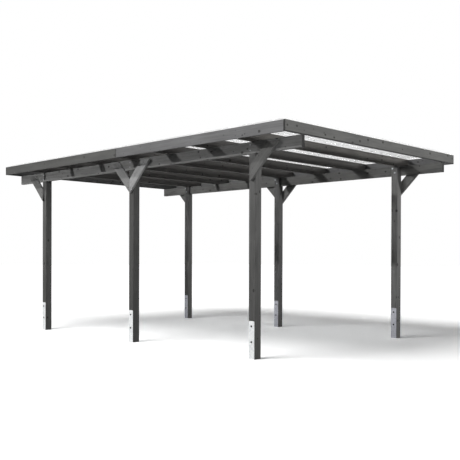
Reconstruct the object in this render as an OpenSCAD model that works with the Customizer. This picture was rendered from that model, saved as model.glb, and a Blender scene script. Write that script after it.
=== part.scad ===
// Timber carport for one car: six posts in two rows, a long beam on each row, braces,
// rafters across the beams, boards round the roof edge and a ribbed clear roof.
// Millimetres. +Z is up, +Y runs from the entry to the rear, and the origin lies on the
// ground under the middle of the roof.

/* [Posts] */
// Side of a square post
post_w = 95; // [75:1:140]
// Chamfer along the four long edges of a post
post_chamfer = 5; // [1:0.5:10]
// Distance across the drive between the post centres
row_span = 2770; // [2200:10:3600]
// Distance along one side from post centre to post centre
bay_len = 2055; // [1500:5:2600]

/* [Long beams] */
// Height of the underside of a beam above the ground
beam_clear = 2153; // [1900:1:2600]
// Thickness of a beam, which is also the depth of its seat in the post
beam_t = 45; // [30:1:60]
// Height of a beam
beam_h = 125; // [90:1:180]

/* [Braces] */
// Thickness of a brace board
brace_t = 30; // [18:1:45]
// Width of a brace board
brace_w = 120; // [80:1:150]
// Slope of a brace
brace_angle = 45; // [40:1:50]
// How far the foot of a brace lies below the beam
brace_drop = 288; // [220:1:420]
// How far the top of a brace stays below the top of the beam
brace_top_gap = 26; // [0:1:60]

/* [Roof frame] */
// From the centre of an end post to the front or rear edge of the roof
end_overhang = 662; // [450:1:900]
// From the centre of a post to the side edge of the roof
side_overhang = 302; // [200:1:500]
// Height of the rafters and of the boards round the roof edge
board_h = 115; // [80:1:180]
// Thickness of a rafter
rafter_t = 35; // [24:1:60]
// Thickness of the boards round the roof edge
fascia_t = 22; // [12:1:30]
// Gap between the two boards of one side, where they meet over the doubled middle rafter
fascia_gap = 4; // [0:1:10]

/* [Roof sheets] */
// Distance from rib to rib
rib_pitch = 70; // [60:1:120]
// Height of a rib
rib_h = 18; // [10:1:40]
// Width of the flat crown of a rib
crown_w = 22; // [10:1:30]
// Width of a rib at its foot
rib_foot_w = 44; // [34:1:56]
// Thickness of a roof sheet
sheet_t = 1.5; // [0.8:0.1:4]
// How far the sheets end inside the edges of the roof
sheet_setback = 5; // [0:1:15]

/* [Post anchors] */
// Height of an anchor plate above the ground
anchor_h = 400; // [200:5:600]
// Width of an anchor plate
anchor_w = 80; // [40:1:120]
// Thickness of an anchor plate
anchor_t = 5; // [3:0.5:10]
// Radius of the two upper corners of an anchor plate
anchor_corner_r = 12; // [4:1:20]

/* [Hidden] */
beam_top = beam_clear + beam_h;
roof_top = beam_top + board_h;
roof_len = 2 * (bay_len + end_overhang);
roof_w = row_span + 2 * side_overhang;
post_outer = (row_span + post_w) / 2;
// Rafters stand on the post rows and at the thirds of each bay.
rafters_per_bay = 3;
rafter_step = bay_len / rafters_per_bay;
rafter_len = roof_w - 2 * fascia_t;
// The side boards meet at the front face of the middle rafter, so that each has its own
// rafter to be fixed to.
board_joint = rafter_t / 2;
// The ribs are centred on the roof, and each outer sheet takes about a third of them.
ribs = floor(roof_w / rib_pitch);
side_ribs = round(ribs / 3);
sheet_len = roof_len - 2 * sheet_setback;
timber = "#565756";
timber_lit = "#6a6a69";
zinc = "#c9ccd0";
clear_sheet = [0.93, 0.95, 0.96, 0.6];

// Sides are -1 for left and 1 for right. Rows are -1 for front, 0 for middle, 1 for rear.
// A post stands on the ground and is cut back at its top, where the beam sits flush with
// its outer face and the rest of the post stays behind it as a tongue.
module post(side, row) {
    half = post_w / 2;
    flat = half - post_chamfer;
    outline = [
        [-half, -flat], [-flat, -half], [flat, -half], [half, -flat],
        [half, flat], [flat, half], [-flat, half], [-half, flat]
    ];
    color(timber)
        translate([side * row_span / 2, row * bay_len, 0])
            difference() {
                linear_extrude(beam_top)
                    polygon(outline);
                mirror([side < 0 ? 1 : 0, 0, 0])
                    translate([half - beam_t, -post_w, beam_clear])
                        cube([post_w, 2 * post_w, 2 * beam_h]);
            }
}

// Two upright plates of a ground anchor hold the foot of a post between them.
module anchor(side, row) {
    color(zinc)
        translate([side * row_span / 2, row * bay_len, 0])
            for (face = [0, 1])
                mirror([face, 0, 0])
                    translate([post_w / 2, 0, 0])
                        rotate([90, 0, 90])
                            linear_extrude(anchor_t)
                                anchor_outline();
}

module anchor_outline() {
    shoulder = anchor_w / 2 - anchor_corner_r;
    translate([-anchor_w / 2, 0])
        square([anchor_w, anchor_h - anchor_corner_r]);
    translate([-shoulder, 0])
        square([2 * shoulder, anchor_h]);
    for (end = [-1, 1])
        translate([end * shoulder, anchor_h - anchor_corner_r])
            circle(r = anchor_corner_r, $fn = 48);
}

// A beam lies in the seats of its three posts and runs to both ends of the roof.
module beam(side) {
    color(timber)
        mirror([side < 0 ? 1 : 0, 0, 0])
            translate([post_outer - beam_t, -roof_len / 2, beam_clear])
                cube([beam_t, roof_len, beam_h]);
}

// A brace lies on the outer faces of a post and its beam. Its foot is cut upright on the
// post's centre line and its top is cut level. Lean is -1 to the front and 1 to the rear.
module brace(side, row, lean) {
    foot = beam_clear - brace_drop;
    top = beam_top - brace_top_gap;
    foot_cut = brace_w / cos(brace_angle);
    reach_low = (top - foot) / tan(brace_angle);
    reach_high = (top - foot - foot_cut) / tan(brace_angle);
    outline = [[0, foot], [reach_low, top], [reach_high, top], [0, foot + foot_cut]];
    color(timber_lit)
        translate([0, row * bay_len, 0])
            mirror([side < 0 ? 1 : 0, 0, 0])
                mirror([0, lean < 0 ? 1 : 0, 0])
                    translate([post_outer, 0, 0])
                        rotate([90, 0, 90])
                            linear_extrude(brace_t)
                                polygon(outline);
}

// Rafters are numbered from the front, and the fourth stands over the middle posts.
module rafter(number) {
    step = number - rafters_per_bay - 1;
    color(timber)
        translate([-rafter_len / 2, step * rafter_step - rafter_t / 2, beam_top])
            cube([rafter_len, rafter_t, board_h]);
}

// A second rafter doubles the middle one on its front face.
module rafter_joint() {
    color(timber)
        translate([-rafter_len / 2, -board_joint - rafter_t, beam_top])
            cube([rafter_len, rafter_t, board_h]);
}

// The front and rear boards run the full width and stand on the ends of the beams.
module fascia_across(end) {
    color(timber_lit)
        mirror([0, end < 0 ? 1 : 0, 0])
            translate([-roof_w / 2, roof_len / 2 - fascia_t, beam_top])
                cube([roof_w, fascia_t, board_h]);
}

// The side boards close the ends of the rafters, between the front and rear boards. Each
// side has two of them, which meet over the seam of the doubled middle rafter.
module fascia_along(side, end) {
    start = end * -board_joint + fascia_gap / 2;
    color(timber_lit)
        mirror([side < 0 ? 1 : 0, 0, 0])
            mirror([0, end < 0 ? 1 : 0, 0])
                translate([roof_w / 2 - fascia_t, start, beam_top])
                    cube([fascia_t, roof_len / 2 - fascia_t - start, board_h]);
}

// The underside of one rib, from its left foot to its right foot. A lapping rib rides one
// sheet thickness higher, over the last rib of the sheet beside it. Raised gives that lift
// at the left foot, the crown and the right foot.
function rib_line(number, raised) =
    let (middle = (number + 0.5 - ribs / 2) * rib_pitch)
    [
        [middle - rib_foot_w / 2, raised[0]],
        [middle - crown_w / 2, rib_h + raised[1]],
        [middle + crown_w / 2, rib_h + raised[1]],
        [middle + rib_foot_w / 2, raised[2]]
    ];

// A sheet lies on the rafters and the roof boards, with its ribs along the carport. Its
// outline is the underside of its ribs, and the same line one thickness higher, backwards.
module sheet(underside) {
    last = len(underside) - 1;
    upper = [for (i = [last : -1 : 0]) underside[i] + [0, sheet_t]];
    color(clear_sheet)
        translate([0, sheet_len / 2, roof_top])
            rotate([90, 0, 0])
                linear_extrude(sheet_len)
                    polygon(concat(underside, upper));
}

// An outer sheet starts with a flat edge at the side of the roof and ends on the crown of
// its last rib, under the middle sheet. The right one is the mirror image of the left.
module outer_sheet(side) {
    flat = [0, 0, 0];
    lap = rib_line(side_ribs - 1, flat);
    edge = [sheet_setback - roof_w / 2, 0];
    whole = [for (i = [0 : side_ribs - 2]) each rib_line(i, flat)];
    mirror([side < 0 ? 0 : 1, 0, 0])
        sheet(concat([edge], whole, [lap[0], lap[1], lap[2]]));
}

// The middle sheet laps one rib of each outer sheet.
module middle_sheet() {
    first = side_ribs - 1;
    last = ribs - side_ribs;
    whole = [for (i = [first + 1 : last - 1]) each rib_line(i, [0, 0, 0])];
    sheet(concat(
        rib_line(first, [sheet_t, sheet_t, 0]),
        whole,
        rib_line(last, [0, sheet_t, sheet_t])
    ));
}

post(-1, -1);  // post_front_left
post(-1, 0);  // post_middle_left
post(-1, 1);  // post_rear_left
post(1, -1);  // post_front_right
post(1, 0);  // post_middle_right
post(1, 1);  // post_rear_right
anchor(-1, -1);  // anchor_front_left
anchor(-1, 0);  // anchor_middle_left
anchor(-1, 1);  // anchor_rear_left
anchor(1, -1);  // anchor_front_right
anchor(1, 0);  // anchor_middle_right
anchor(1, 1);  // anchor_rear_right
beam(-1);  // beam_left
beam(1);  // beam_right
brace(-1, -1, -1);  // brace_front_left
brace(-1, 0, -1);  // brace_middle_front_left
brace(-1, 0, 1);  // brace_middle_rear_left
brace(-1, 1, 1);  // brace_rear_left
brace(1, -1, -1);  // brace_front_right
brace(1, 0, -1);  // brace_middle_front_right
brace(1, 0, 1);  // brace_middle_rear_right
brace(1, 1, 1);  // brace_rear_right
rafter(1);  // rafter_1
rafter(2);  // rafter_2
rafter(3);  // rafter_3
rafter(4);  // rafter_4
rafter(5);  // rafter_5
rafter(6);  // rafter_6
rafter(7);  // rafter_7
rafter_joint();
fascia_across(-1);  // fascia_front
fascia_across(1);  // fascia_rear
fascia_along(-1, -1);  // fascia_left_front
fascia_along(-1, 1);  // fascia_left_rear
fascia_along(1, -1);  // fascia_right_front
fascia_along(1, 1);  // fascia_right_rear
outer_sheet(-1);  // roof_sheet_left
middle_sheet();  // roof_sheet_middle
outer_sheet(1);  // roof_sheet_right
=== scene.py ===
"""Looks of a timber carport: stained spruce, galvanised post anchors and a clear ribbed roof.

Metres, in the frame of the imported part: +Z is up and +Y runs from the entry to the rear.
The timbers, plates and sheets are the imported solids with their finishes. Bolts, nuts and
screws are profiles carried round an axis, worked out here as whole arrays.
"""

import math

import bpy
import numpy as np
from mathutils import Matrix, Vector


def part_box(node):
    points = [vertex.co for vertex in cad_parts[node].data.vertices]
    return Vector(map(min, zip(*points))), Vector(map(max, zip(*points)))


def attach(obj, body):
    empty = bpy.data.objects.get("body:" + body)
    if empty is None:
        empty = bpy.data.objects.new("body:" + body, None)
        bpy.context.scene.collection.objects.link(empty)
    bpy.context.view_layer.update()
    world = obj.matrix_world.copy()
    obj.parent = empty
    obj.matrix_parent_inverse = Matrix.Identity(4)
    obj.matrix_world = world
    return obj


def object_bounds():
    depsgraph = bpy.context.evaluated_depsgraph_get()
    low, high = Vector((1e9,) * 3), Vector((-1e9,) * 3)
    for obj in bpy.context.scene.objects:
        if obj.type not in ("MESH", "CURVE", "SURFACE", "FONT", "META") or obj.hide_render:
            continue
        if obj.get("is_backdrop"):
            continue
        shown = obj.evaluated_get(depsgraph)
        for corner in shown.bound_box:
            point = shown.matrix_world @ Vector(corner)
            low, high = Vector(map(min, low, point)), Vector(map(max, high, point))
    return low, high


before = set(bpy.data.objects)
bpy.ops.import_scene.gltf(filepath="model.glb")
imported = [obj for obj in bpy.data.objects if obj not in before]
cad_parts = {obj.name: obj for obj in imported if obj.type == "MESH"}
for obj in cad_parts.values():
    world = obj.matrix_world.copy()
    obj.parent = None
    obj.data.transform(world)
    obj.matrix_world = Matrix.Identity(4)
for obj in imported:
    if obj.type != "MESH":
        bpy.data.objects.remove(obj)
cad_low, cad_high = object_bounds()
scene = bpy.context.scene
MM = 0.001

SIDES = {"left": -1, "right": 1}
ROWS = ("front", "middle", "rear")
POSTS = [f"post_{row}_{side}" for side in SIDES for row in ROWS]
BEAMS = ["beam_left", "beam_right"]
RAFTERS = [f"rafter_{number}" for number in range(1, 8)]
# Each brace has the way it leans from foot to head along Y.
BRACES = {}
for side in SIDES:
    BRACES[f"brace_front_{side}"] = -1
    BRACES[f"brace_middle_front_{side}"] = -1
    BRACES[f"brace_middle_rear_{side}"] = 1
    BRACES[f"brace_rear_{side}"] = 1
END_BOARDS = ["fascia_front", "fascia_rear"]
SIDE_BOARDS = [f"fascia_{side}_{end}" for side in SIDES for end in ("front", "rear")]
PLATES = [f"anchor_{row}_{side}" for side in SIDES for row in ROWS]
SHEETS = ["roof_sheet_left", "roof_sheet_middle", "roof_sheet_right"]


def linear(hex_colour):
    """An sRGB hex colour as linear RGBA, by the sRGB curve for each channel."""
    s = np.array([int(hex_colour[i : i + 2], 16) for i in (1, 3, 5)]) / 255
    rgb = np.where(s <= 0.04045, s / 12.92, ((s + 0.055) / 1.055) ** 2.4)
    return (*rgb.tolist(), 1.0)


def add(tree, kind, inputs=(), **settings):
    """Adds one node. Settings are its properties. Inputs gives its sockets by name or number,
    each with a value or with the output socket that is linked to it."""
    node = tree.nodes.new("ShaderNode" + kind)
    for key, value in settings.items():
        setattr(node, key, value)
    for key, value in dict(inputs).items():
        if isinstance(value, bpy.types.NodeSocket):
            tree.links.new(value, node.inputs[key])
        else:
            node.inputs[key].default_value = value
    return node


def blank(name):
    """An empty material and its node tree."""
    material = bpy.data.materials.new(name)
    material.use_nodes = True
    material.node_tree.nodes.clear()
    return material, material.node_tree


def looking(tree):
    """A socket that is 1 for the eye, for reflections and for what shows through the clear
    sheet, and 0 for light on its way to a surface."""
    ray = add(tree, "LightPath").outputs
    seen = {0: ray["Is Camera Ray"], 1: ray["Is Glossy Ray"]}
    seen = add(tree, "Math", seen, operation="MAXIMUM")
    seen = {0: seen.outputs[0], 1: ray["Is Transmission Ray"]}
    return add(tree, "Math", seen, operation="MAXIMUM").outputs[0]


# Camera and light


# Where the camera stands and how it is turned, in metres and radians.
EYE = (-6.87978, -7.09785, 1.08009)
yaw, pitch, roll = 0.79307, -0.00525, 0.00332
camera = bpy.data.objects.new("photo_view", bpy.data.cameras.new("photo_view"))
camera.data.lens = 55.49
camera.data.sensor_width = 36
camera.data.shift_y = 0.0648
heading = Vector((math.sin(yaw), math.cos(yaw), 0))
ahead = math.cos(pitch) * heading + math.sin(pitch) * Vector((0, 0, 1))
level = Vector((math.cos(yaw), -math.sin(yaw), 0))
upright = level.cross(ahead)
across = math.cos(roll) * level + math.sin(roll) * upright
above = math.cos(roll) * upright - math.sin(roll) * level
stance = Matrix((across, above, -ahead)).transposed().to_4x4()
camera.matrix_world = Matrix.Translation(EYE) @ stance
scene.collection.objects.link(camera)
scene.camera = camera
scene.view_settings.view_transform = "Standard"


# The lamps on the carport are flagged off the floor, which has one broad lamp of its own.
carport_light = bpy.data.collections.new("carport_light")
floor_light = bpy.data.collections.new("floor_light")


def lamp(name, kind, place, aim, watts, size, spread=180, lights=carport_light):
    """A lamp at a place, turned to its aim, out of the camera's sight. Size is the radius of a
    round lamp or the side of a box lamp. A box lamp may have a grid that narrows its beam to a
    spread in degrees."""
    data = bpy.data.lights.new(name, kind)
    data.energy = watts
    if kind == "AREA":
        data.size = size
        data.spread = math.radians(spread)
    else:
        data.shadow_soft_size = size
    light = bpy.data.objects.new(name, data)
    light.location = place
    light.rotation_euler = (Vector(aim) - Vector(place)).to_track_quat("-Z", "Y").to_euler()
    light.visible_camera = False
    light.visible_transmission = False
    light.light_linking.receiver_collection = lights
    scene.collection.objects.link(light)


# Two small lamps on the left reach in through the clear roof, so that rafters and braces cast
# crisp shadows. Boxes in front light the faces of rafters and boards from their top edges
# down, and two large boxes light the right side and the back.
lamp("key", "POINT", (-8.0, 2.0, 4.95), (0, 0, 1), 1660, 0.08)
lamp("high_left", "POINT", (-4.6, 2.4, 5.2), (0, 0, 1), 627, 0.05)
lamp("front_left_box", "AREA", (-3.5, -9.0, 2.95), (-0.5, 0, 2.9), 62, 0.7, 80)
lamp("front_right_box", "AREA", (4.5, -9.0, 2.95), (0.5, 0, 2.9), 70, 0.7, 80)
lamp("right_box", "AREA", (9.0, 1.5, 3.4), (0, 0, 1.4), 420, 2.4)
lamp("back_box", "AREA", (3.2, 10.0, 3.4), (0, 0, 1.4), 420, 2.4)
FLOOR_LAMP = (-9.0, 0.4, 14.0)
lamp("floor_lamp", "POINT", FLOOR_LAMP, (0, 0, 0), 11600, 4.4, lights=floor_light)

# The room is white to the eye and to reflections, and a weak even light to the rest.
ROOM_LIGHT = 0.03
world = bpy.data.worlds.new("white_room")
world.use_nodes = True
tree = world.node_tree
tree.nodes.clear()
strength = add(tree, "MapRange", {"Value": looking(tree), "To Min": ROOM_LIGHT, "To Max": 1.0})
shine = add(tree, "Background", {"Color": (1, 1, 1, 1), "Strength": strength.outputs[0]})
add(tree, "OutputWorld", {"Surface": shine.outputs[0]})
scene.world = world


# Finishes


def pattern_scale(along, across):
    """The scale at which a pattern's features measure so many mm along and across a board."""
    return (1 / (along * MM), 1 / (across * MM), 1 / (across * MM))


def stained_spruce(name, turn, dark, light, knot_step, seed, drift, lower_edge_shade):
    """Planed spruce under a matt slate-grey wood stain.

    The stain is thin, so the eye gets the grain through it: long streaks where it sank in,
    growth rings that bend round small dark knots, fine drying cracks, and end grain drawn
    nearly black, partly for the stain it drinks and partly as painted shade. The board's own
    box centres the pattern on the board, and turn lays its length on X. Streaks of 16 mm and
    knots from 6 mm are as fine as can show. Drift is the tone at the two ends, and the last
    argument is the tone of a painted shade along the lower edge.
    """
    material, tree = blank(f"stained_spruce_{name}")
    low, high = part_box(name)
    rng = np.random.default_rng(seed)
    middle = turn.to_matrix() @ ((low + high) / 2)
    start = tuple(rng.uniform(-40, 40, 3))

    where = add(tree, "TexCoord").outputs
    board = {"Vector": where["Object"], "Location": -middle, "Rotation": turn}
    board = add(tree, "Mapping", board)
    facing = {"Vector": where["Normal"], "Rotation": turn}
    facing = add(tree, "Mapping", facing, vector_type="NORMAL")

    # Knots: one feature point in each cell of knot_step by 90 by 90 mm, seen on the face. A
    # knot's radius is up to 15 mm, more along the board, and a quarter of the points have none.
    cell = (knot_step, 90 * MM, 90 * MM)
    cells = {"Vector": board.outputs[0], "Scale": [1 / c for c in cell], "Location": start}
    cells = add(tree, "Mapping", cells)
    knot = add(tree, "TexVoronoi", {"Vector": cells.outputs[0], "Scale": 1.0})
    off = {0: cells.outputs[0], 1: knot.outputs["Position"]}
    off = add(tree, "VectorMath", off, operation="SUBTRACT")
    off = add(tree, "VectorMath", {0: off.outputs[0], 1: cell}, operation="MULTIPLY")
    deep = {0: off.outputs[0], 1: facing.outputs[0]}
    deep = add(tree, "VectorMath", deep, operation="DOT_PRODUCT")
    deep = {0: facing.outputs[0], "Scale": deep.outputs["Value"]}
    deep = add(tree, "VectorMath", deep, operation="SCALE")
    off = add(tree, "VectorMath", {0: off.outputs[0], 1: deep.outputs[0]}, operation="SUBTRACT")
    oval = add(tree, "VectorMath", {0: off.outputs[0], 1: (0.72, 1, 1)}, operation="MULTIPLY")
    far = add(tree, "VectorMath", {0: oval.outputs[0]}, operation="LENGTH")
    chance = add(tree, "SeparateColor", {0: knot.outputs["Color"]})
    girth = {"Value": chance.outputs[0], "From Min": 0.25, "To Min": 0.1 * MM, "To Max": 15 * MM}
    girth = add(tree, "MapRange", girth)
    share = {0: far.outputs["Value"], 1: girth.outputs[0]}
    share = add(tree, "Math", share, operation="DIVIDE")
    core = {"Value": share.outputs[0], "From Min": 1.25, "From Max": 0.7}
    core = add(tree, "MapRange", core, interpolation_type="SMOOTHSTEP")
    swell = {"Value": share.outputs[0], "From Min": 5.0, "From Max": 0.6}
    swell = add(tree, "MapRange", swell, interpolation_type="SMOOTHSTEP")

    # Growth rings: distance from a pith beside the board, one ring every 6 mm. The pith wanders
    # by up to 30 mm, in bends of about 0.7 m, and the rings bend round the knots.
    wander = {"Vector": board.outputs[0], "Scale": pattern_scale(714.3, 200), "Location": start}
    wander = add(tree, "Mapping", wander)
    wander = add(tree, "TexNoise", {"Vector": wander.outputs[0], "Scale": 1.0, "Detail": 2.0})
    wander = {0: wander.outputs["Color"], 1: (0.5, 0.5, 0.5)}
    wander = add(tree, "VectorMath", wander, operation="SUBTRACT")
    wander = add(tree, "VectorMath", {0: wander.outputs[0], "Scale": 60 * MM}, operation="SCALE")
    bent = {0: off.outputs[0], "Scale": swell.outputs[0]}
    bent = add(tree, "VectorMath", bent, operation="SCALE")
    pith = {0: board.outputs[0], 1: wander.outputs[0]}
    pith = add(tree, "VectorMath", pith, operation="ADD")
    pith = add(tree, "VectorMath", {0: pith.outputs[0], 1: bent.outputs[0]}, operation="SUBTRACT")
    pith_y = float(rng.uniform(-50, 50)) * MM
    pith_z = float(rng.choice([-1, 1]) * rng.uniform(25, 60)) * MM
    beside = {0: pith.outputs[0], 1: (0, pith_y, pith_z)}
    pith = add(tree, "VectorMath", beside, operation="SUBTRACT")
    pith = add(tree, "VectorMath", {0: pith.outputs[0], 1: (0, 1, 1)}, operation="MULTIPLY")
    radius = add(tree, "VectorMath", {0: pith.outputs[0]}, operation="LENGTH")
    rings = add(tree, "Math", {0: radius.outputs["Value"], 1: 6 * MM}, operation="DIVIDE")
    rings = add(tree, "Math", {0: rings.outputs[0]}, operation="FRACT")

    # Streaks of 16 mm by 420 mm that follow the rings, and a slow change of tone along a board.
    streak_x, streak_y, streak_z = pattern_scale(416.7, 16.13)
    long = {"Vector": pith.outputs[0], "Scale": (0, streak_y, streak_z), "Location": start}
    long = add(tree, "Mapping", long)
    along = add(tree, "Mapping", {"Vector": board.outputs[0], "Scale": (streak_x, 0, 0)})
    long = add(tree, "VectorMath", {0: long.outputs[0], 1: along.outputs[0]}, operation="ADD")
    streak = {"Vector": long.outputs[0], "Scale": 1.0, "Detail": 4.0, "Roughness": 0.6}
    streak = add(tree, "TexNoise", streak)
    slow = {"Vector": board.outputs[0], "Scale": pattern_scale(454.5, 111.1), "Location": start}
    slow = add(tree, "Mapping", slow)
    slow = add(tree, "TexNoise", {"Vector": slow.outputs[0], "Scale": 1.0, "Detail": 2.0})

    # How light the stain is: most by the streaks, then the slow change, and least by the rings.
    depth = add(tree, "Math", {0: streak.outputs[0], 1: 0.62}, operation="MULTIPLY")
    depth = {0: slow.outputs[0], 1: 0.5, 2: depth.outputs[0]}
    depth = add(tree, "Math", depth, operation="MULTIPLY_ADD")
    depth = {0: rings.outputs[0], 1: -0.12, 2: depth.outputs[0]}
    depth = add(tree, "Math", depth, operation="MULTIPLY_ADD")
    depth = {"Value": depth.outputs[0], "From Min": 0.28, "From Max": 0.72}
    depth = add(tree, "MapRange", depth)
    stain = {0: depth.outputs[0], 6: linear(dark), 7: linear(light)}
    colour = add(tree, "Mix", stain, data_type="RGBA")

    # The tone drifts from one end to the other, and along the lower edge a line of about 11 mm
    # is darker: painted shade, for the shadow under the board's lower edge.
    half = max(high - low) / 2
    place = add(tree, "SeparateXYZ", {0: board.outputs[0]})
    tone = {"Value": place.outputs[0], "From Min": -half, "From Max": half}
    tone = add(tree, "MapRange", {**tone, "To Min": drift[0], "To Max": drift[1]})
    height = add(tree, "SeparateXYZ", {0: where["Object"]}).outputs[2]
    painted_shade_rim = {"Value": height, "From Min": low.z + 8 * MM, "From Max": low.z + 14 * MM}
    painted_shade_rim = add(tree, "MapRange", {**painted_shade_rim, "To Min": lower_edge_shade, "To Max": 1.0})
    tone = add(tree, "Math", {0: tone.outputs[0], 1: painted_shade_rim.outputs[0]}, operation="MULTIPLY")
    colour = {0: colour.outputs[2], "Scale": tone.outputs[0]}
    colour = add(tree, "VectorMath", colour, operation="SCALE")

    # Drying cracks, 1 to 2 mm wide and up to 400 mm long, where fine grain noise crosses its
    # middle value. They show only in a few stretches of a board.
    crack = {"Vector": board.outputs[0], "Scale": pattern_scale(400, 8.333), "Location": start}
    crack = add(tree, "Mapping", crack)
    crack = add(tree, "TexNoise", {"Vector": crack.outputs[0], "Scale": 1.0, "Detail": 1.0})
    crack = add(tree, "Math", {0: crack.outputs[0], 1: 0.5}, operation="SUBTRACT")
    crack = add(tree, "Math", {0: crack.outputs[0]}, operation="ABSOLUTE")
    crack = {"Value": crack.outputs[0], "From Min": 0.014, "From Max": 0.006}
    crack = add(tree, "MapRange", crack)
    few = {"Value": slow.outputs["Color"], "From Min": 0.55, "From Max": 0.62}
    few = add(tree, "MapRange", few)
    crack = add(tree, "Math", {0: crack.outputs[0], 1: few.outputs[0]}, operation="MULTIPLY")

    # End grain: faces that look along the board, or are cut through it at a slant. It is drawn
    # # near black, partly for the stain it drinks and partly as painted shade.
    ends = add(tree, "SeparateXYZ", {0: facing.outputs[0]})
    ends = add(tree, "Math", {0: ends.outputs[0]}, operation="ABSOLUTE")
    ends = add(tree, "MapRange", {"Value": ends.outputs[0], "From Min": 0.5, "From Max": 0.68})
    dark_end_grain_and_shade = {0: rings.outputs[0], 6: linear("#232322"), 7: linear("#141413")}
    dark_end_grain_and_shade = add(tree, "Mix", dark_end_grain_and_shade, data_type="RGBA")

    marks = add(tree, "Math", {0: core.outputs[0], 1: 0.85}, operation="MULTIPLY")
    marks = add(tree, "Math", {0: marks.outputs[0], 1: crack.outputs[0]}, operation="MAXIMUM")
    colour = {0: marks.outputs[0], 6: colour.outputs[0], 7: linear("#262523")}
    colour = add(tree, "Mix", colour, data_type="RGBA")
    colour = {0: ends.outputs[0], 6: colour.outputs[2], 7: dark_end_grain_and_shade.outputs[2]}
    colour = add(tree, "Mix", colour, data_type="RGBA")

    dull = add(tree, "MapRange", {"Value": streak.outputs[0], "To Min": 0.56, "To Max": 0.78})
    relief = {0: rings.outputs[0], 1: 0.35, 2: streak.outputs[0]}
    relief = add(tree, "Math", relief, operation="MULTIPLY_ADD")
    relief = {0: crack.outputs[0], 1: -2.0, 2: relief.outputs[0]}
    relief = add(tree, "Math", relief, operation="MULTIPLY_ADD")
    bump = {"Height": relief.outputs[0], "Strength": 0.5, "Distance": 0.6 * MM}
    bump = add(tree, "Bump", bump)
    shader = add(
        tree,
        "BsdfPrincipled",
        {
            "Base Color": colour.outputs[2],
            "Roughness": dull.outputs[0],
            "Normal": bump.outputs[0],
            "IOR": 1.45,
            "Specular IOR Level": 0.25,
        },
    )
    add(tree, "OutputMaterial", {"Surface": shader.outputs[0]})
    return material


def galvanised_steel(name, dark, light):
    """Hot-dip galvanised steel plate: pale zinc crystals of about 18 mm, in clouds of 70 mm,
    dull and part matt."""
    material, tree = blank(f"galvanised_steel_{name}")
    where = add(tree, "TexCoord").outputs["Object"]
    flakes = add(tree, "TexVoronoi", {"Vector": where, "Scale": 1 / (18 * MM)})
    flake = add(tree, "SeparateColor", {0: flakes.outputs["Color"]})
    cloud = add(tree, "TexNoise", {"Vector": where, "Scale": 1 / (70 * MM), "Detail": 3.0})
    tone = {0: flake.outputs[0], 1: 0.5, 2: cloud.outputs[0]}
    tone = add(tree, "Math", tone, operation="MULTIPLY_ADD")
    tone = add(tree, "MapRange", {"Value": tone.outputs[0], "From Min": 0.35, "From Max": 1.1})
    colour = {0: tone.outputs[0], 6: linear(dark), 7: linear(light)}
    colour = add(tree, "Mix", colour, data_type="RGBA")
    dull = add(tree, "MapRange", {"Value": tone.outputs[0], "To Min": 0.5, "To Max": 0.36})
    bump = {"Height": flake.outputs[1], "Strength": 0.15, "Distance": 0.2 * MM}
    bump = add(tree, "Bump", bump)
    shader = add(
        tree,
        "BsdfPrincipled",
        {
            "Base Color": colour.outputs[2],
            "Metallic": 0.55,
            "Roughness": dull.outputs[0],
            "Normal": bump.outputs[0],
        },
    )
    add(tree, "OutputMaterial", {"Surface": shader.outputs[0]})
    return material


def plated_steel():
    """Zinc-plated bolts and screws: smooth bright metal with a slight cloudiness of 6 mm from
    handling."""
    material, tree = blank("zinc_plated_steel")
    where = add(tree, "TexCoord").outputs["Object"]
    cloud = add(tree, "TexNoise", {"Vector": where, "Scale": 1 / (6 * MM), "Detail": 2.0})
    colour = {0: cloud.outputs[0], 6: linear("#96999d"), 7: linear("#bfc2c5")}
    colour = add(tree, "Mix", colour, data_type="RGBA")
    dull = add(tree, "MapRange", {"Value": cloud.outputs[0], "To Min": 0.22, "To Max": 0.42})
    metal = {"Base Color": colour.outputs[2], "Metallic": 1.0, "Roughness": dull.outputs[0]}
    shader = add(tree, "BsdfPrincipled", metal)
    add(tree, "OutputMaterial", {"Surface": shader.outputs[0]})
    return material


def blackened_steel():
    """Blackened bolts and countersunk screws: dark, satin metal that goes with the stain, with
    a cloudiness of 4 mm."""
    material, tree = blank("blackened_steel")
    where = add(tree, "TexCoord").outputs["Object"]
    cloud = add(tree, "TexNoise", {"Vector": where, "Scale": 1 / (4 * MM), "Detail": 2.0})
    colour = {0: cloud.outputs[0], 6: linear("#1f1f20"), 7: linear("#343435")}
    colour = add(tree, "Mix", colour, data_type="RGBA")
    dull = add(tree, "MapRange", {"Value": cloud.outputs[0], "To Min": 0.4, "To Max": 0.58})
    metal = {"Base Color": colour.outputs[2], "Metallic": 0.8, "Roughness": dull.outputs[0]}
    shader = add(tree, "BsdfPrincipled", metal)
    add(tree, "OutputMaterial", {"Surface": shader.outputs[0]})
    return material


def black_rubber():
    """Moulded rubber under the roof screws: near black and matt, with patches of dust of 9 mm."""
    material, tree = blank("black_rubber")
    where = add(tree, "TexCoord").outputs["Object"]
    dust = add(tree, "TexNoise", {"Vector": where, "Scale": 1 / (9 * MM), "Detail": 3.0})
    colour = {0: dust.outputs[0], 6: linear("#191919"), 7: linear("#2e2e2d")}
    colour = add(tree, "Mix", colour, data_type="RGBA")
    shader = add(tree, "BsdfPrincipled", {"Base Color": colour.outputs[2], "Roughness": 0.82})
    add(tree, "OutputMaterial", {"Surface": shader.outputs[0]})
    return material


# How much of the clear sheet meets the eye, on its flats and on the sides of its ribs.
DUSTY, CLEAN = 0.22, 0.012
# How much lamp light the sheet keeps from a surface 1.5 m or less from it, and 3 m or more.
HELD_NEAR, HELD_FAR = 0.06, 0.43


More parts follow.
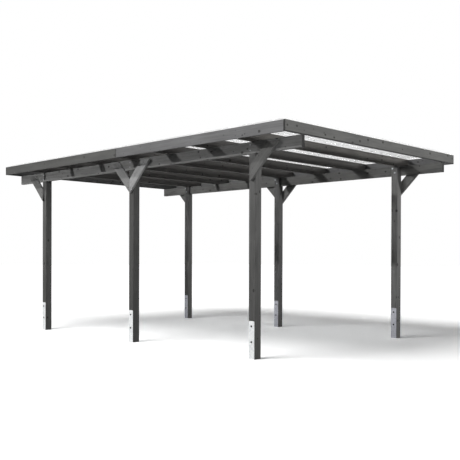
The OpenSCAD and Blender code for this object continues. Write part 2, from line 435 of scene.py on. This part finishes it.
def clear_sheet():
    """Clear extruded plastic sheet: see-through and glossy, with draw lines 12 mm wide and
    1.25 m long on the ribs, drawn as coarse as they need to show, and a thin film of grey dust
    on the flats, by which the eye finds the sheet from above.

    The timbers close below it get nearly all of the lamps' light. The floor gets less, so the
    roof has a shadow there. The length of a shadow ray tells the two apart."""
    material, tree = blank("clear_plastic_sheet")
    where = add(tree, "TexCoord").outputs
    lines = (1 / (12 * MM), 1 / (1250 * MM), 1 / (12 * MM))
    lines = add(tree, "Mapping", {"Vector": where["Object"], "Scale": lines})
    lines = add(tree, "TexNoise", {"Vector": lines.outputs[0], "Scale": 1.0, "Detail": 2.0})
    dull = add(tree, "MapRange", {"Value": lines.outputs[0], "To Min": 0.0, "To Max": 0.04})
    slope = add(tree, "SeparateXYZ", {0: where["Normal"]})
    slope = add(tree, "Math", {0: slope.outputs[2]}, operation="ABSOLUTE")
    side = add(tree, "MapRange", {"Value": slope.outputs[0], "From Min": 0.9, "From Max": 0.6})
    dust = {0: lines.outputs[0], 6: linear("#828a8d"), 7: linear("#a6aeb0")}
    dust = add(tree, "Mix", dust, data_type="RGBA")
    tint = {0: side.outputs[0], 6: dust.outputs[2], 7: linear("#fdfdfd")}
    tint = add(tree, "Mix", tint, data_type="RGBA")
    film = add(tree, "MapRange", {"Value": side.outputs[0], "To Min": DUSTY, "To Max": CLEAN})
    ray = add(tree, "LightPath").outputs
    light = {0: ray["Is Shadow Ray"], 1: ray["Is Diffuse Ray"]}
    light = add(tree, "Math", light, operation="MAXIMUM")
    held = {"Value": ray["Ray Length"], "From Min": 1.5, "From Max": 3.0}
    held = add(tree, "MapRange", {**held, "To Min": HELD_NEAR, "To Max": HELD_FAR})
    solid = {"Value": light.outputs[0], "To Min": film.outputs[0], "To Max": held.outputs[0]}
    solid = add(tree, "MapRange", solid)
    shader = add(
        tree,
        "BsdfPrincipled",
        {
            "Base Color": tint.outputs[2],
            "Roughness": dull.outputs[0],
            "IOR": 1.5,
            "Transmission Weight": 1.0,
            "Alpha": solid.outputs[0],
        },
    )
    add(tree, "OutputMaterial", {"Surface": shader.outputs[0]})
    return material


# The floor's tone makes up for its lamp's fall-off as far as this from the lamp.
FLOOR_REACH = 22.0
# The tone that looks white at that distance, and the tone for light that bounces on.
FLOOR_WHITE, FLOOR_BOUNCE = 2.95, 0.06
# Light falls with the square of the distance, and once more with the slant.
FALL_OFF = 3.0


def pale_floor():
    """A plain pale floor that keeps the shadow of the carport. The light of its lamp falls off
    with the cube of the distance, once the slant is counted. The tone of the floor makes up
    for that as far as FLOOR_REACH, and a glow does beyond, so that all of the floor is white
    to the eye except in the shadow."""
    material, tree = blank("pale_floor")
    where = add(tree, "TexCoord").outputs["Object"]
    far = add(tree, "VectorMath", {0: where, 1: FLOOR_LAMP}, operation="DISTANCE")
    near = add(tree, "Math", {0: far.outputs["Value"], 1: FLOOR_REACH}, operation="DIVIDE")
    near = add(tree, "Math", {0: near.outputs[0], 1: 1.0}, operation="MINIMUM")
    near = add(tree, "Math", {0: near.outputs[0], 1: FALL_OFF}, operation="POWER")
    white = add(tree, "Math", {0: near.outputs[0], 1: FLOOR_WHITE}, operation="MULTIPLY")
    lost = add(tree, "Math", {0: FLOOR_REACH, 1: far.outputs["Value"]}, operation="DIVIDE")
    lost = add(tree, "Math", {0: lost.outputs[0], 1: 1.0}, operation="MINIMUM")
    lost = add(tree, "Math", {0: lost.outputs[0], 1: FALL_OFF}, operation="POWER")
    lost = add(tree, "Math", {0: 1.0, 1: lost.outputs[0]}, operation="SUBTRACT")
    seen = looking(tree)
    grey = {"Value": seen, "To Min": FLOOR_BOUNCE, "To Max": white.outputs[0]}
    grey = add(tree, "MapRange", grey)
    matt = add(tree, "BsdfDiffuse", {"Color": grey.outputs[0]})
    lift = add(tree, "Math", {0: lost.outputs[0], 1: seen}, operation="MULTIPLY")
    glow = add(tree, "Emission", {"Strength": lift.outputs[0]})
    both = add(tree, "AddShader", {0: matt.outputs[0], 1: glow.outputs[0]})
    add(tree, "OutputMaterial", {"Surface": both.outputs[0]})
    return material


def wear(node, material):
    """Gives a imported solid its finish, and rounds its sharp edges by 2 mm."""
    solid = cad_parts[node]
    solid.data.materials.clear()
    solid.data.materials.append(material)
    weld = solid.modifiers.new("weld", "WELD")
    weld.merge_threshold = 0.05 * MM
    flat = solid.modifiers.new("flat", "DECIMATE")
    flat.decimate_type = "DISSOLVE"
    flat.angle_limit = math.radians(1)
    edge = solid.modifiers.new("edge", "BEVEL")
    edge.width = 2 * MM
    edge.segments = 2
    edge.limit_method = "ANGLE"
    edge.angle_limit = math.radians(50)
    solid.modifiers.new("normals", "WEIGHTED_NORMAL")


# Turns that lay a board's length on X.
FROM_Y = Matrix.Rotation(-math.pi / 2, 3, "Z")
UPRIGHT = Matrix.Rotation(math.pi / 2, 3, "Y").to_euler()
ALONG_Y = FROM_Y.to_euler()
ALONG_X = Matrix.Identity(3).to_euler()
LEANS = {
    lean: (FROM_Y @ Matrix.Rotation(-lean * math.pi / 4, 3, "X")).to_euler() for lean in (-1, 1)
}
# Each board has its own dark and light tone. Part is how the stain took, and part is painted
# # light and shade, set board by board to how light each board looks: brace_middle_front_left,
# # for one, is painted much lighter for light that the lamps don't bring to it.
STAIN_AND_PAINTED_LIGHT = {
    "post_front_left": ("#494948", "#646463"),
    "post_middle_left": ("#393938", "#4f4f4e"),
    "post_rear_left": ("#414140", "#5c5c5b"),
    "post_front_right": ("#5b5b59", "#7b7b7b"),
    "post_middle_right": ("#454544", "#616161"),
    "post_rear_right": ("#484847", "#666665"),
    "beam_left": ("#5f5f5e", "#838382"),
    "beam_right": ("#4d4d4c", "#6f6f6d"),
    "rafter_1": ("#5b5a56", "#7f7c79"),
    "fascia_front": ("#4f4f4e", "#696967"),
    "fascia_rear": ("#4f4f4e", "#6a6a69"),
    "fascia_left_front": ("#545454", "#737374"),
    "fascia_left_rear": ("#3a3a39", "#525250"),
    "fascia_right_front": ("#555555", "#727273"),
    "fascia_right_rear": ("#505050", "#6d6d6c"),
    "brace_front_left": ("#50504e", "#696968"),
    "brace_middle_front_left": ("#7e7e7e", "#a2a2a2"),
    "brace_middle_rear_left": ("#646464", "#848483"),
}
# The other rafters and braces share a tone.
PLAIN = {"rafter": ("#4f4e4c", "#6d6b69"), "brace": ("#535352", "#6e6e6d")}
# The side boards are lighter at their front ends, and the end boards have a painted shade along
# their lower edge.
DRIFT = {
    "fascia_left_front": (1.22, 0.8),
    "fascia_left_rear": (0.98, 0.72),
    "fascia_right_front": (1.1, 0.9),
    "fascia_right_rear": (1.05, 0.9),
}
EVEN = (1.0, 1.0)
LOWER_EDGE_SHADE = {"fascia_front": 0.25, "fascia_rear": 0.25}
# Boards of a kind, the turn that lays them on X, and the metres from one knot to the next.
seed = 11
for names, turn, knot_step in (
    (POSTS, UPRIGHT, 0.36),
    (BEAMS, ALONG_Y, 0.24),
    (RAFTERS, ALONG_X, 0.30),
    (END_BOARDS, ALONG_X, 0.15),
    (SIDE_BOARDS, ALONG_Y, 0.34),
    ([name for name in BRACES if BRACES[name] < 0], LEANS[-1], 0.3),
    ([name for name in BRACES if BRACES[name] > 0], LEANS[1], 0.3),
    (["rafter_joint"], ALONG_X, 0.30),
):
    for name in names:
        seed += 1
        dark, light = STAIN_AND_PAINTED_LIGHT.get(name) or PLAIN[name.split("_")[0]]
        drift, lower_edge_shade = DRIFT.get(name, EVEN), LOWER_EDGE_SHADE.get(name, 1.0)
        wear(name, stained_spruce(name, turn, dark, light, knot_step, seed, drift, lower_edge_shade))

# The plates of the right row are drawn duller and darker than those of the left row: painted
# # shade, for the shade that falls on them under the roof.
zinc = {
    "left": galvanised_steel("bright", "#d6d8da", "#f2f3f3"),
    "right": galvanised_steel("dull", "#999aa2", "#b5b6bd"),
}
plated = plated_steel()
rubber = black_rubber()
blackened = blackened_steel()
clear = clear_sheet()
for name in PLATES:
    wear(name, zinc[name.split("_")[-1]])
for name in SHEETS:
    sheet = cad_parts[name]
    sheet.data.materials.clear()
    sheet.data.materials.append(clear)


# Bolts, nuts and screws


def turned(profile, corners, places, axes, lobe=()):
    """A profile of radius and height in mm, carried round an axis at each place.

    The point at turn a on ring k is place + radius_k (1 + lobe_k cos 6a) (cos a side + sin a up)
    + height_k axis. Rings are joined by quads and the end rings are closed by flat faces."""
    radius, height = np.asarray(profile, float).T * MM
    places = np.asarray(places, float)
    axes = np.broadcast_to(np.asarray(axes, float), places.shape)
    helper = np.where(np.abs(axes[:, 2:]) > 0.9, [[1.0, 0.0, 0.0]], [[0.0, 0.0, 1.0]])
    side = np.cross(helper, axes)
    side /= np.linalg.norm(side, axis=1, keepdims=True)
    up = np.cross(axes, side)
    turn = 2 * np.pi * np.arange(corners) / corners
    swell = np.zeros(len(radius)) if len(lobe) == 0 else np.asarray(lobe, float)
    reach = radius[:, None] * (1 + swell[:, None] * np.cos(6 * turn))
    round_about = np.cos(turn)[:, None] * side[:, None] + np.sin(turn)[:, None] * up[:, None]
    points = places[:, None, None] + reach[None, :, :, None] * round_about[:, None]
    points = points + height[None, :, None, None] * axes[:, None, None]
    first = np.arange(points[..., 0].size).reshape(points.shape[:3])
    after = np.roll(first, -1, axis=2)
    quads = np.stack([first[:, :-1], after[:, :-1], after[:, 1:], first[:, 1:]], -1)
    caps = np.concatenate([first[:, 0, ::-1], first[:, -1]])
    return points.reshape(-1, 3), quads.reshape(-1, 4).tolist() + caps.tolist()


def piece(name, shapes, material):
    """One object from several shapes, with smooth rounds and crisp corners, on the frame."""
    points, faces, count = [], [], 0
    for shape_points, shape_faces in shapes:
        points.append(shape_points)
        faces += [[corner + count for corner in face] for face in shape_faces]
        count += len(shape_points)
    mesh = bpy.data.meshes.new(name)
    mesh.from_pydata(np.concatenate(points), [], faces)
    mesh.shade_smooth()
    mesh.set_sharp_from_angle(angle=math.radians(35))
    mesh.materials.append(material)
    made = bpy.data.objects.new(name, mesh)
    scene.collection.objects.link(made)
    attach(made, "root")


# Profiles from the seat to the tip, as radius and height in mm, and corners round an axis.
ROUND, SMALL_ROUND, HEXAGON = 24, 12, 6
DOME = [(6.5, -1), (6.5, 0.6), (6, 1.8), (4.7, 2.9), (2.9, 3.7), (1.1, 4)]
WASHER = [(11, -0.5), (11, 1.8), (10.5, 2.2)]
NUT = [(6.6, 2), (7.5, 2.7), (7.5, 7.8), (6.6, 8.6)]
BOLT_END = [(4, 2), (4, 11), (3.3, 11.8)]
HEX_HEAD = [(7.5, 1.8), (7.5, 6.6), (6.6, 7.3)]
SUNK = [(4.6, -2), (4.6, 0.2), (4.2, 0.5), (2.1, 0.5), (1.9, -1.6)]
SUNK_LOBE = [0, 0, 0, 0.16, 0.16]
ROOF_WASHER = [(8, -0.4), (8, 1.4), (5.2, 2.6)]
ROOF_HEAD = [(4.6, 2.2), (4.6, 6.2), (4, 6.8)]


def through_bolts(kind, spots):
    """Places of the heads and nuts of the bolts through each node of a kind, and the axes that
    point out and in. Spots gives each side's shifts along Y from the middle, and heights."""
    heads, nuts, outward, inward = [], [], [], []
    for side, sign in SIDES.items():
        for row in ROWS:
            low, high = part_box(f"{kind}_{row}_{side}")
            y = (low.y + high.y) / 2
            outer, inner = (high.x, low.x) if sign > 0 else (low.x, high.x)
            for shift, z in spots[side]:
                heads.append((outer, y + shift, z))
                nuts.append((inner, y + shift, z))
                outward.append((sign, 0, 0))
                inward.append((-sign, 0, 0))
    return heads, nuts, outward, inward


def nut_shapes(nuts, inward):
    """A washer, a nut and the end of a bolt at each place."""
    return [
        turned(WASHER, ROUND, nuts, inward),
        turned(NUT, HEXAGON, nuts, inward),
        turned(BOLT_END, SMALL_ROUND, nuts, inward),
    ]


# Two bolts hold each beam in its post, above one another on the left and staggered on the right.
BEAM_BOLTS = {
    "left": ((0.03, 2.247), (0.03, 2.189)),
    "right": ((0.03, 2.247), (-0.004, 2.189)),
}
heads, nuts, outward, inward = through_bolts("post", BEAM_BOLTS)
piece("beam_bolt_heads", [turned(DOME, ROUND, heads, outward)], plated)
piece("beam_bolt_nuts", nut_shapes(nuts, inward), plated)

# Two bolts go through both plates and the foot of each post.
ANCHOR_BOLTS = dict.fromkeys(SIDES, ((0, 0.18), (0, 0.345)))
heads, nuts, outward, inward = through_bolts("anchor", ANCHOR_BOLTS)
head_shapes = [turned(WASHER, ROUND, heads, outward), turned(HEX_HEAD, HEXAGON, heads, outward)]
piece("anchor_bolt_heads", head_shapes, blackened)
piece("anchor_bolt_nuts", nut_shapes(nuts, inward), blackened)

# Four screws hold each brace: two in the post and two in the beam. Each has its distance from
# the foot along Y, and its height above the foot.
BRACE_SCREWS = ((0.022, 0.06), (0.03, 0.13), (0.235, 0.318), (0.275, 0.357))
places, axes = [], []
for name, lean in BRACES.items():
    low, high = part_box(name)
    sign = 1 if low.x > 0 else -1
    face = high.x if sign > 0 else low.x
    foot_y = low.y if lean > 0 else high.y
    for reach, lift in BRACE_SCREWS:
        places.append((face, foot_y + lean * reach, low.z + lift))
        axes.append((sign, 0, 0))
piece("brace_screws", [turned(SUNK, ROUND, places, axes, SUNK_LOBE)], blackened)

# Screws in the roof boards: two in each rafter end, and two at each end of the front and rear
# boards, in the middle of the side boards' thickness.
BOARD_SCREW_Z = (2.308, 2.363)
HALF_BOARD = 11 * MM
places, axes = [], []
rafter_y = [sum(v.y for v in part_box(name)) / 2 for name in RAFTERS]
joint_y = sum(v.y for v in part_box("rafter_joint")) / 2
for sign, face in ((-1, cad_low.x), (1, cad_high.x)):
    for y in rafter_y + [joint_y]:
        for z in BOARD_SCREW_Z:
            places.append((face, y, z))
            axes.append((sign, 0, 0))
for sign, name in ((-1, "fascia_front"), (1, "fascia_rear")):
    low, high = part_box(name)
    face = high.y if sign > 0 else low.y
    for x in (low.x + HALF_BOARD, high.x - HALF_BOARD):
        for z in BOARD_SCREW_Z:
            places.append((x, face, z))
            axes.append((0, sign, 0))
piece("board_screws", [turned(SUNK, ROUND, places, axes, SUNK_LOBE)], blackened)

# Roof screws stand on every third rib, over each rafter, the same on both sides of the middle.
# Where two sheets lap, a rib is one sheet higher.
RIB_COUNT = 48
RIB_STEP = 70 * MM
SHEET_THICKNESS = 1.5 * MM
LAPPED_RIBS = (15, 32)
left_ribs = np.arange(3, RIB_COUNT // 2, 3)
ribs = np.concatenate([left_ribs, RIB_COUNT - 1 - left_ribs])
rib_x = (ribs - (RIB_COUNT - 1) / 2) * RIB_STEP
crown = cad_high.z - np.where(np.isin(ribs, LAPPED_RIBS), 0, SHEET_THICKNESS)
screw_x, screw_y = np.meshgrid(rib_x, rafter_y)
screw_z = np.broadcast_to(crown, screw_x.shape)
grid = np.stack([screw_x, screw_y, screw_z], -1).reshape(-1, 3)
washers = turned(ROOF_WASHER, SMALL_ROUND, grid, (0, 0, 1))
piece("roof_screw_washers", [washers], rubber)
roof_heads = turned(ROOF_HEAD, HEXAGON, grid, (0, 0, 1))
piece("roof_screw_heads", [roof_heads], plated)


# Floor: a flat square grid of points, each square of four neighbours closed by a face.

FLOOR_HALF = 60.0
FLOOR_LINES = 9
line = np.linspace(-FLOOR_HALF, FLOOR_HALF, FLOOR_LINES)
u, v = np.meshgrid(line, line)
points = np.stack([u, v, np.zeros_like(u)], -1).reshape(-1, 3)
step = np.arange(FLOOR_LINES - 1)
corner = (step[:, None] * FLOOR_LINES + step).reshape(-1, 1)
mesh = bpy.data.meshes.new("floor")
mesh.from_pydata(points, [], (corner + [0, 1, FLOOR_LINES + 1, FLOOR_LINES]).tolist())
mesh.materials.append(pale_floor())
floor = bpy.data.objects.new("floor", mesh)
scene.collection.objects.link(floor)
floor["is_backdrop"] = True
for group, state in ((carport_light, "EXCLUDE"), (floor_light, "INCLUDE")):
    group.objects.link(floor)
    group.collection_objects[0].light_linking.link_state = state

low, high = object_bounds()
